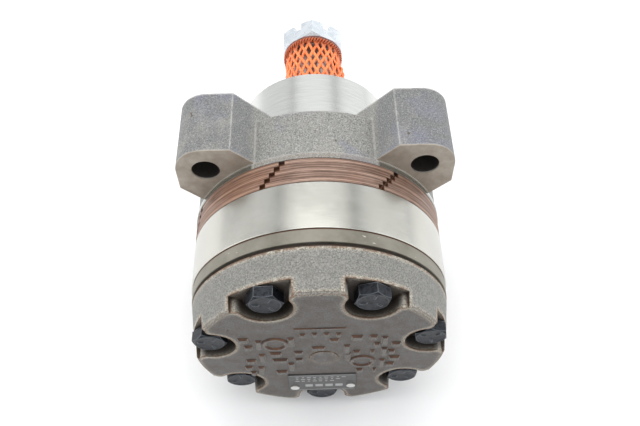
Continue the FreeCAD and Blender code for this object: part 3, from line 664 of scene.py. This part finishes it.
def make_bolts():
    """The cover bolts as one piece: heads with three plain bars each, and shanks."""
    parts = []
    for number in range(BOLT_COUNT):
        angle = (number + 0.5) * 360 / BOLT_COUNT
        place = about_shaft(angle) @ Matrix.Translation((0, HEAD_SEAT, BOLT_CIRCLE))
        upright = place @ about_shaft(-angle)
        parts.append(moved(bolt_head(HEAD_TURNS[number]), upright))
        for mark in range(3):
            bar = raised_bar(1.1 * MM, 3.2 * MM, 0.45 * MM)
            lift = Matrix.Translation((0, -HEAD_HEIGHT + 0.25 * MM, MARK_RADIUS))
            spin = about_shaft(HEAD_TURNS[number] + mark * 120)
            parts.append(moved(bar, upright @ spin @ lift))
        shank = [[Vector((SHANK_RADIUS * math.cos(turn), along, SHANK_RADIUS * math.sin(turn)))
                  for turn in around(SHANK_SIDES)]
                 for along in (0, SHANK_END - HEAD_SEAT)]
        parts.append(moved(skin(shank, True, True), place))
    piece = new_piece("cover_bolts_finished", *merge(parts), MATERIALS["bolt"])
    attach(piece, "motor_body", "cover_bolts")


# ---------------------------------------------------------------- protective net
STRANDS = 22
DIAMOND = 11.0 * MM
STRAND_RADIUS = 0.80 * MM
STRAND_SIDES = 7
NET_START = HOUSING[1].y + 0.9 * MM
NET_END = NUT[0].y - 0.4 * MM
TAPER_RADIUS = 15.7 * MM
TAPER_LOSS = 0.6 * MM
KEY_HALF_ANGLE = 0.62
HEM_RADIUS = 1.15 * MM
HEM_STRAND_RADIUS = 0.55 * MM
HEM_STRAND_SIDES = 5


def net_radius(angle, along):
    """How far out the net lies: over the taper, pushed out by the key on the +X side."""
    share = (along - NET[0].y) / (NET[1].y - NET[0].y)
    lift = TAPER_RADIUS - TAPER_LOSS * share + STRAND_RADIUS * 1.15
    across = abs(math.atan2(math.sin(angle - math.pi / 2), math.cos(angle - math.pi / 2)))
    over_key = KEY[0].y - 4 * MM < along < KEY[1].y + 4 * MM
    if over_key and across < KEY_HALF_ANGLE:
        bulge = KEY[1].x + STRAND_RADIUS - lift
        lift += max(0.0, bulge) * math.cos(across / KEY_HALF_ANGLE * math.pi / 2) ** 0.6
    slack = noise.noise(Vector((math.sin(angle) * 2, along * 70, math.cos(angle) * 2)))
    return lift + (0.35 + 0.35 * slack) * MM


def net_point(angle, along, layer):
    """A point of the net, lifted by layer."""
    reach = net_radius(angle, along) + layer
    return Vector((reach * math.sin(angle), along, reach * math.cos(angle)))


def strand(start, hand):
    """One strand of the net: a thin tube on a helix, dipping over and under at crossings."""
    steps = 84
    centre = []
    for step in range(steps + 1):
        along = NET_START + (NET_END - NET_START) * step / steps
        run = (along - NET_START) / DIAMOND
        wobble = 0.05 * noise.noise(Vector((start * 3, along * 60, hand)))
        angle = start + hand * (2 * math.pi / STRANDS) * run + wobble
        layer = hand * 0.18 * MM * math.cos(2 * math.pi * run)
        centre.append(net_point(angle, along, layer))
    rings = []
    for step, point in enumerate(centre):
        before = centre[max(step - 1, 0)]
        after = centre[min(step + 1, steps)]
        ahead = (after - before).normalized()
        out = Vector((point.x, 0, point.z)).normalized()
        side = ahead.cross(out).normalized()
        run = (point.y - NET_START) / DIAMOND * 2
        knot = 1 + 0.30 * max(0.0, math.cos(2 * math.pi * run)) ** 6
        rings.append([point + (side * math.cos(turn) * 1.12 + out * math.sin(turn) * 0.88)
                      * STRAND_RADIUS * knot
                      for turn in around(STRAND_SIDES)])
    return skin(rings, closed_start=True, closed_end=True)


def hem(start):
    """The net's end rolled on itself: a strand wound round and round a circle."""
    steps, winds = 620, 31
    reach = net_radius(math.pi, NET_END) + 0.5 * MM
    centre = []
    for step in range(steps):
        turn = 2 * math.pi * step / steps
        wind = turn * winds + start
        out = reach + HEM_RADIUS * math.cos(wind)
        along = NET_END - 1.6 * MM + HEM_RADIUS * math.sin(wind)
        centre.append(Vector((out * math.sin(turn), along, out * math.cos(turn))))
    rings = []
    for step, point in enumerate(centre):
        ahead = (centre[(step + 1) % steps] - centre[step - 1]).normalized()
        out = Vector((point.x, 0, point.z)).normalized()
        side = ahead.cross(out).normalized()
        over = side.cross(ahead)
        rings.append([point + (side * math.cos(turn) + over * math.sin(turn)) * HEM_STRAND_RADIUS
                      for turn in around(HEM_STRAND_SIDES)])
    rings.append(rings[0])
    return skin(rings)


def make_net():
    """The whole net as one piece: two crossing sets of strands and the rolled end."""
    parts = []
    for number in range(STRANDS):
        start = 2 * math.pi * number / STRANDS
        parts.append(strand(start, 1))
        parts.append(strand(start, -1))
    parts.append(hem(0.0))
    parts.append(hem(math.pi))
    piece = new_piece("shaft_net_strands", *merge(parts), MATERIALS["net"], "shaft", degrees=80)
    attach(piece, "shaft", "shaft_net")


# ---------------------------------------------------------------- shaft thread
THREAD_PITCH = 1.5 * MM
THREAD_ROOT = 12.3 * MM
THREAD_CREST = 12.95 * MM
TURN_STEPS = 48


def make_thread():
    """The thread on the shaft's stub, from the nut's slots to the end."""
    begin, end = NUT[1].y - 4.6 * MM, SHAFT[1].y - 1.4 * MM
    steps = round((end - begin) / THREAD_PITCH * TURN_STEPS)
    rings = []
    for step in range(steps + 1):
        turn = 2 * math.pi * step / TURN_STEPS
        along = begin + (end - begin) * step / steps
        fade = min(1.0, step / 12, (steps - step) / 12)
        crest = THREAD_ROOT + (THREAD_CREST - THREAD_ROOT) * fade
        rings.append([Vector((reach * math.sin(turn), along + lift, reach * math.cos(turn)))
                      for reach, lift in ((THREAD_ROOT, -THREAD_PITCH * 0.45), (crest, 0),
                                          (THREAD_ROOT, THREAD_PITCH * 0.45),
                                          (THREAD_ROOT - 0.4 * MM, 0))])
    new_piece("output_shaft_thread", *skin(rings, True, True), MATERIALS["steel"], "shaft",
              slot="ground_steel")


# ---------------------------------------------------------------- cover relief, nameplate
def raised_ring(radius, width, height):
    """A round bead with sloped sides, lying in XZ and standing towards -Y."""
    rings = []
    for reach, rise in ((radius - width / 2, 0.0), (radius - width / 6, height),
                        (radius + width / 6, height), (radius + width / 2, 0.0)):
        rings.append([Vector((reach * math.sin(turn), -rise, reach * math.cos(turn)))
                      for turn in around(40)])
    rings.append(rings[0])
    return skin(rings)


# Places and lengths of the pads on the cover's face, in millimetres.
FIELD_EDGE = 39.5
PAD_ROWS = (17.0, 9.0, 1.0, -6.5, -14.0, -20.5)
PAD_COLUMNS = ((-34.5, 5.0), (-20.5, 7.5), (18.0, 5.5), (25.5, 4.0), (34.5, 5.5))
BEADS = ((-21.0, 12.0), (20.0, -9.5))
BEAD_CLEARANCE = 6.5
SHORT_PADS = ((-10.5, 2.0, 4.5), (-10.5, -6.0, 4.0), (-1.0, 6.5, 6.5), (6.5, 14.5, 4.5),
              (-8.0, 20.5, 2.8), (-2.5, 21.0, 2.6), (3.0, 21.0, 2.8), (8.5, 20.5, 2.6))
POSTS = ((-28.5, 12), (-28.0, -3), (-29.5, -17.5), (-13.5, 14), (-14.5, -14), (12.5, 5),
         (13.0, -3.5), (29.8, 13), (30.2, 1), (29.6, -12))


def on_cover(part, x, z):
    """Set a part on the cover's face, x and z millimetres from the shaft axis."""
    return moved(part, Matrix.Translation((x * MM, COVER[0].y + 0.4 * MM, z * MM)))


def pad_field():
    """Pads in rows and columns, left out past the field's edge, by a bead and here and there."""
    parts = []
    for column, (x, length) in enumerate(PAD_COLUMNS):
        for row, z in enumerate(PAD_ROWS):
            by_bead = min(math.hypot(x - a, z - b) for a, b in BEADS) < BEAD_CLEARANCE
            if math.hypot(x, z + 2) > FIELD_EDGE or by_bead or (row * 2 + column) % 5 == 4:
                continue
            shorter = row % 3 * 0.9
            shift = (row % 2 - 0.5) * 1.8
            part = raised_bar((length - shorter) * MM, 4.6 * MM, 1.15 * MM)
            parts.append(on_cover(part, x + shift, z))
    return parts


def make_relief():
    """Plain raised casting pads and beads on the cover's face; they carry no words."""
    parts = pad_field()
    for x, z, length in SHORT_PADS:
        parts.append(on_cover(raised_bar(length * MM, 3.8 * MM, 1.0 * MM), x, z))
    for x, z in POSTS:
        parts.append(on_cover(raised_bar(3.2 * MM, 9.0 * MM, 1.0 * MM), x, z))
    parts.append(on_cover(raised_bar(24 * MM, 1.6 * MM, 0.6 * MM), 0, 27))
    for x, z in BEADS:
        parts.append(on_cover(raised_ring(5.4 * MM, 2.6 * MM, 0.9 * MM), x, z))
    piece = new_piece("end_cover_pads", *merge(parts), MATERIALS["pads"], slot="cast_cover")
    bevel = piece.modifiers.new("edges", "BEVEL")
    bevel.width = 0.35 * MM
    bevel.segments = 2


PRINT_HEIGHT = 0.05 * MM


def printed(x, z, length, width):
    """A flat bar on the nameplate's face."""
    bar = raised_bar(length, width, PRINT_HEIGHT)
    return moved(bar, Matrix.Translation((x, PLATE[0].y, z)))


def make_nameplate_print():
    """Light bars and blocks printed on the nameplate in place of any lettering."""
    parts = []
    low, high = PLATE
    width = high.x - low.x
    for row in range(3):
        for step in range(9 - row):
            length = (0.045, 0.03, 0.06)[(step + row) % 3] * width
            x = low.x + width * (0.13 + 0.086 * step)
            parts.append(printed(x, high.z - (3.0 + 2.3 * row) * MM, length, 0.8 * MM))
    for step in range(4):
        x = low.x + width * (0.30 + 0.15 * step)
        parts.append(printed(x, low.z + 6.4 * MM, width * 0.11, 3.0 * MM))
    for z in (low.z + 1.0 * MM, high.z - 1.0 * MM):
        parts.append(printed((low.x + high.x) / 2, z, width - 2 * MM, 0.35 * MM))
    new_piece("nameplate_print", *merge(parts), MATERIALS["print"], slot="bright_pin")


make_bolts()
make_net()
make_thread()
make_relief()
make_nameplate_print()


# ---------------------------------------------------------------- floor, light, camera
# The room's gaps lie where its sideways slant, |x / z|, is GAP_SLANT.
GAP_SLANT = 0.68
GAP_HALF_WIDTH = 0.12
GAP_LEVEL = 0.10
ROOM_LEVEL = 0.82
PANEL_EXTRA = 0.17
RIGHT_EXTRA = 0.26
FLOOR_HALF = 4.0
CAMERA_PLACE = (0.0016, -0.2172, 0.3233)
CAMERA_TILT = math.radians(54.89)
CAMERA_ROLL = math.radians(-1.64)
CAMERA_LENS = 41.0


def make_floor():
    """A plain pale floor that belongs to the stage, not to the part."""
    mesh = bpy.data.meshes.new("floor")
    corners = ((-1, -1), (1, -1), (1, 1), (-1, 1))
    mesh.from_pydata([(x * FLOOR_HALF, y * FLOOR_HALF, FLOOR_Z) for x, y in corners], [],
                     [(0, 1, 2, 3)])
    floor = bpy.data.objects.new("floor", mesh)
    bpy.context.collection.objects.link(floor)
    paint = Paint("studio_floor")
    tone = paint.noise(3, 2, 0.5)
    colour = paint.mix(tone, (0.90, 0.90, 0.905), (0.93, 0.93, 0.935))
    mesh.materials.append(paint.finish(colour, 0.75))


def area_light(name, place, size, power, colour=(1, 1, 1)):
    """A rectangular lamp that looks at the middle of the part."""
    data = bpy.data.lights.new(name, "AREA")
    data.shape = "RECTANGLE"
    data.size, data.size_y = size
    data.energy = power
    data.color = colour
    lamp = bpy.data.objects.new(name, data)
    lamp.location = place
    lamp.rotation_euler = (-Vector(place)).to_track_quat("-Z", "Y").to_euler()
    bpy.context.collection.objects.link(lamp)


def make_world():
    """White room, whose dark gaps between light panels don't show to the camera directly."""
    world = bpy.data.worlds.new("studio")
    world.use_nodes = True
    tree = world.node_tree

    def step(operation, *items):
        made = tree.nodes.new("ShaderNodeMath")
        made.operation = operation
        for slot, item in zip(made.inputs, items):
            if isinstance(item, (int, float)):
                slot.default_value = item
            else:
                tree.links.new(item, slot)
        return made.outputs["Value"]

    def spread(source, low, high, start, end, curve="LINEAR"):
        """Stretch a value so that low..high becomes start..end."""
        made = tree.nodes.new("ShaderNodeMapRange")
        made.interpolation_type = curve
        for name, number in (("From Min", low), ("From Max", high), ("To Min", start),
                             ("To Max", end)):
            made.inputs[name].default_value = number
        tree.links.new(source, made.inputs["Value"])
        return made.outputs["Result"]

    split = tree.nodes.new("ShaderNodeSeparateXYZ")
    tree.links.new(tree.nodes.new("ShaderNodeTexCoord").outputs["Generated"], split.inputs[0])
    leaning = step("DIVIDE", split.outputs["X"], split.outputs["Z"])
    slant = step("ABSOLUTE", leaning)
    from_gap = step("ABSOLUTE", step("SUBTRACT", slant, GAP_SLANT))
    level = spread(from_gap, 0.0, GAP_HALF_WIDTH, GAP_LEVEL, ROOM_LEVEL, "SMOOTHSTEP")
    panel = spread(slant, GAP_SLANT, GAP_SLANT * 0.6, 0.0, PANEL_EXTRA)
    right = spread(leaning, GAP_SLANT * 1.25, GAP_SLANT * 1.6, 0.0, RIGHT_EXTRA)
    shown = step("ADD", step("ADD", level, panel), right)
    straight = tree.nodes.new("ShaderNodeLightPath").outputs["Is Camera Ray"]
    strength = step("MAXIMUM", step("MULTIPLY", shown, step("SUBTRACT", 1.0, straight)),
                    step("MULTIPLY", straight, ROOM_LEVEL))
    sky = tree.nodes["Background"]
    sky.inputs["Color"].default_value = (0.97, 0.985, 1.0, 1)
    tree.links.new(strength, sky.inputs["Strength"])
    bpy.context.scene.world = world


def make_lights():
    """Soft studio light: one lamp overhead, one to each side, and the room."""
    area_light("overhead", (0.0, 0.10, 1.10), (0.8, 0.9), 6.0, (1.0, 0.985, 0.96))
    area_light("left_side", (-0.95, 0.10, 0.45), (0.7, 0.8), 3.3)
    area_light("right_side", (0.95, 0.10, 0.45), (0.7, 0.8), 2.2, (0.98, 0.99, 1.0))
    make_world()


def make_camera():
    """The photograph's viewpoint: behind and above the cover, looking down and forward."""
    ahead = Vector((0, math.cos(CAMERA_TILT), -math.sin(CAMERA_TILT)))
    level = Vector((1, 0, 0))
    upward = Vector((0, math.sin(CAMERA_TILT), math.cos(CAMERA_TILT)))
    right = level * math.cos(CAMERA_ROLL) + upward * math.sin(CAMERA_ROLL)
    above = upward * math.cos(CAMERA_ROLL) - level * math.sin(CAMERA_ROLL)
    data = bpy.data.cameras.new("camera")
    data.lens = CAMERA_LENS
    data.sensor_width = 36
    camera = bpy.data.objects.new("camera", data)
    turn = Matrix((right, above, -ahead)).transposed().to_4x4()
    camera.matrix_world = Matrix.Translation(CAMERA_PLACE) @ turn
    bpy.context.collection.objects.link(camera)
    bpy.context.scene.camera = camera


make_floor()
make_lights()
make_camera()
bpy.context.scene.view_settings.view_transform = "Standard"
